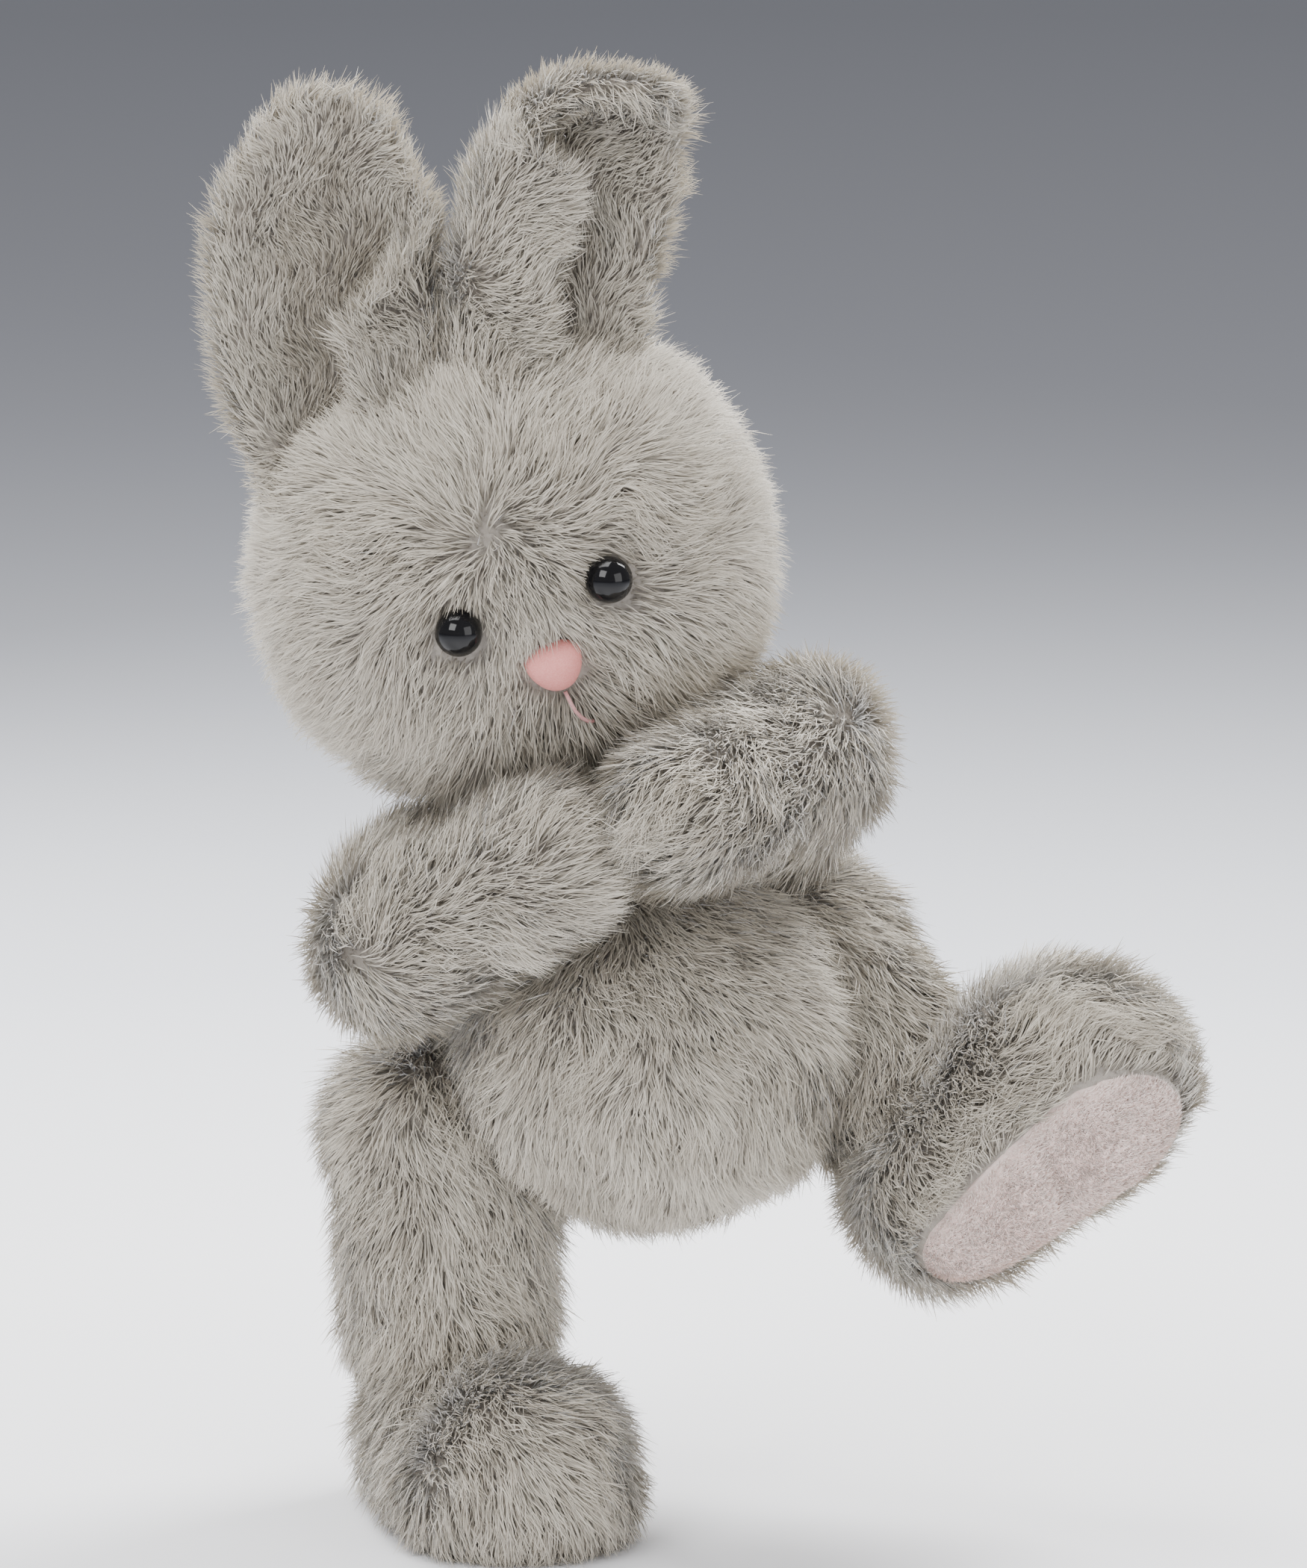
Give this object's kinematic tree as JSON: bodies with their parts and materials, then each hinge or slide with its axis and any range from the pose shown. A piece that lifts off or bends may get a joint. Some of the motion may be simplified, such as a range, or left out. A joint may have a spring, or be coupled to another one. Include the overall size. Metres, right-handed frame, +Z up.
{
  "type": "plush rabbit",
  "caption": "Poseable stuffed toy rabbit standing on one foot with the other leg swung out, both hands at its chin, long pile fur over a jointed skeleton.",
  "frame": {"origin": "middle of the bounding box, on the surface the rabbit stands on", "axes": "+Z up; the rabbit faces -Y; its right side is towards -X"},
  "size_m": [0.2416, 0.1318, 0.3794],
  "materials": {
    "fur": "long-pile plush",
    "stuffing": "polyester fibre filling",
    "skeleton": "moulded",
    "eye": "gloss",
    "nose": "flocked",
    "thread": "embroidery thread",
    "sole_felt": "short-nap velour",
    "weight": "cast"
  },
  "bodies": {
    "torso": {"torso_cover": "fur", "torso_stuffing": "stuffing", "joint_bushings": "skeleton", "tail": "fur"},
    "neck_post": {"neck_spindle": "skeleton"},
    "neck_cross": {"neck_link": "skeleton"},
    "head": {"head_cover": "fur", "head_stuffing": "stuffing", "neck_plate": "skeleton", "eye_right": "eye", "eye_left": "eye", "nose": "nose", "face_washers": "skeleton", "mouth_stitch": "thread", "ear_posts": "skeleton"},
    "ear_right": {"ear_cover_right": "fur", "ear_spine_right": "skeleton"},
    "ear_left": {"ear_cover_left": "fur", "ear_spine_left": "skeleton"},
    "shoulder_right": {"shoulder_spindle_right": "skeleton"},
    "upper_arm_right": {"upper_arm_cover_right": "fur", "upper_arm_stuffing_right": "stuffing", "upper_arm_bone_right": "skeleton", "shoulder_pin_right": "skeleton"},
    "forearm_right": {"forearm_cover_right": "fur", "forearm_stuffing_right": "stuffing", "forearm_bone_right": "skeleton", "elbow_pin_right": "skeleton"},
    "hip_right": {"hip_spindle_right": "skeleton"},
    "leg_right": {"leg_cover_right": "fur", "leg_stuffing_right": "stuffing", "leg_bone_right": "skeleton", "hip_pin_right": "skeleton"},
    "ankle_right": {"ankle_link_right": "skeleton"},
    "foot_right": {"foot_cover_right": "fur", "foot_stuffing_right": "stuffing", "foot_plate_right": "skeleton", "sole_pad_right": "sole_felt", "foot_weight_right": "weight"},
    "shoulder_left": {"shoulder_spindle_left": "skeleton"},
    "upper_arm_left": {"upper_arm_cover_left": "fur", "upper_arm_stuffing_left": "stuffing", "upper_arm_bone_left": "skeleton", "shoulder_pin_left": "skeleton"},
    "forearm_left": {"forearm_cover_left": "fur", "forearm_stuffing_left": "stuffing", "forearm_bone_left": "skeleton", "elbow_pin_left": "skeleton"},
    "hip_left": {"hip_spindle_left": "skeleton"},
    "leg_left": {"leg_cover_left": "fur", "leg_stuffing_left": "stuffing", "leg_bone_left": "skeleton", "hip_pin_left": "skeleton"},
    "ankle_left": {"ankle_link_left": "skeleton"},
    "foot_left": {"foot_cover_left": "fur", "foot_stuffing_left": "stuffing", "foot_plate_left": "skeleton", "sole_pad_left": "sole_felt"}
  },
  "joints": [
    {"name": "neck_turn", "type": "hinge", "parent": "torso", "child": "neck_post", "pos_m": [-0.0289, 0.01261, 0.19014], "axis": [0, 0, 1], "range_deg": [-60, 60]},
    {"name": "neck_tilt", "type": "hinge", "parent": "neck_post", "child": "neck_cross", "pos_m": [-0.0289, 0.01261, 0.20314], "axis": [0, 1, 0], "range_deg": [-8, 18]},
    {"name": "neck_nod", "type": "hinge", "parent": "neck_cross", "child": "head", "pos_m": [-0.03257, 0.01261, 0.21351], "axis": [0.9426, 0, 0.3338], "range_deg": [-10, 12]},
    {"name": "ear_tip_right", "type": "hinge", "parent": "head", "child": "ear_right", "pos_m": [-0.09359, 0.0126, 0.28914], "axis": [0.9954, 0, 0.0958], "range_deg": [-25, 25]},
    {"name": "ear_tip_left", "type": "hinge", "parent": "head", "child": "ear_left", "pos_m": [-0.03288, 0.0126, 0.30852], "axis": [0.9969, 0, -0.0785], "range_deg": [-25, 25]},
    {"name": "shoulder_turn_right", "type": "hinge", "parent": "torso", "child": "shoulder_right", "pos_m": [-0.07133, 0.01044, 0.15801], "axis": [-0.9754, -0.0958, -0.1985], "range_deg": [-4, 18]},
    {"name": "shoulder_lift_right", "type": "hinge", "parent": "shoulder_right", "child": "upper_arm_right", "pos_m": [-0.07133, 0.01044, 0.15801], "axis": [0.1824, 0.1541, -0.9711], "range_deg": [-2, 25]},
    {"name": "elbow_bend_right", "type": "hinge", "parent": "upper_arm_right", "child": "forearm_right", "pos_m": [-0.07715, -0.02546, 0.15122], "axis": [-0.5567, -0.0664, 0.8281], "range_deg": [-75, 3]},
    {"name": "hip_turn_right", "type": "hinge", "parent": "torso", "child": "hip_right", "pos_m": [-0.06542, 0.00576, 0.09592], "axis": [-0.8925, -0.1736, -0.4162], "range_deg": [-40, 40]},
    {"name": "hip_lift_right", "type": "hinge", "parent": "hip_right", "child": "leg_right", "pos_m": [-0.06542, 0.00576, 0.09592], "axis": [-0.0947, 0.9745, -0.2034], "range_deg": [-12, 22]},
    {"name": "ankle_bend_right", "type": "hinge", "parent": "leg_right", "child": "ankle_right", "pos_m": [-0.06312, -0.00444, 0.046], "axis": [0.9063, 0.4226, 0], "range_deg": [-12, 12]},
    {"name": "ankle_turn_right", "type": "hinge", "parent": "ankle_right", "child": "foot_right", "pos_m": [-0.06312, -0.00444, 0.046], "axis": [0, 0, 1], "range_deg": [-35, 35]},
    {"name": "shoulder_turn_left", "type": "hinge", "parent": "torso", "child": "shoulder_left", "pos_m": [0.01353, 0.01878, 0.17528], "axis": [0.9754, 0.0958, 0.1985], "range_deg": [-16, 26]},
    {"name": "shoulder_lift_left", "type": "hinge", "parent": "shoulder_left", "child": "upper_arm_left", "pos_m": [0.01353, 0.01878, 0.17528], "axis": [-0.2178, 0.5558, 0.8023], "range_deg": [-2, 25]},
    {"name": "elbow_bend_left", "type": "hinge", "parent": "upper_arm_left", "child": "forearm_left", "pos_m": [0.0251, -0.00856, 0.19736], "axis": [0.6069, -0.328, -0.724], "range_deg": [-65, 8]},
    {"name": "hip_turn_left", "type": "hinge", "parent": "torso", "child": "hip_left", "pos_m": [0.02562, 0.02347, 0.13837], "axis": [0.8925, 0.1736, 0.4162], "range_deg": [-40, 40]},
    {"name": "hip_lift_left", "type": "hinge", "parent": "hip_left", "child": "leg_left", "pos_m": [0.02562, 0.02347, 0.13837], "axis": [-0.0896, -0.8362, 0.541], "range_deg": [-1, 30]},
    {"name": "ankle_bend_left", "type": "hinge", "parent": "leg_left", "child": "ankle_left", "pos_m": [0.05265, -0.00203, 0.10344], "axis": [0.5172, 0.6902, -0.506], "range_deg": [-12, 12]},
    {"name": "ankle_turn_left", "type": "hinge", "parent": "ankle_left", "child": "foot_left", "pos_m": [0.05265, -0.00203, 0.10344], "axis": [-0.403, 0.718, 0.5675], "range_deg": [-80, 80]}
  ]
}
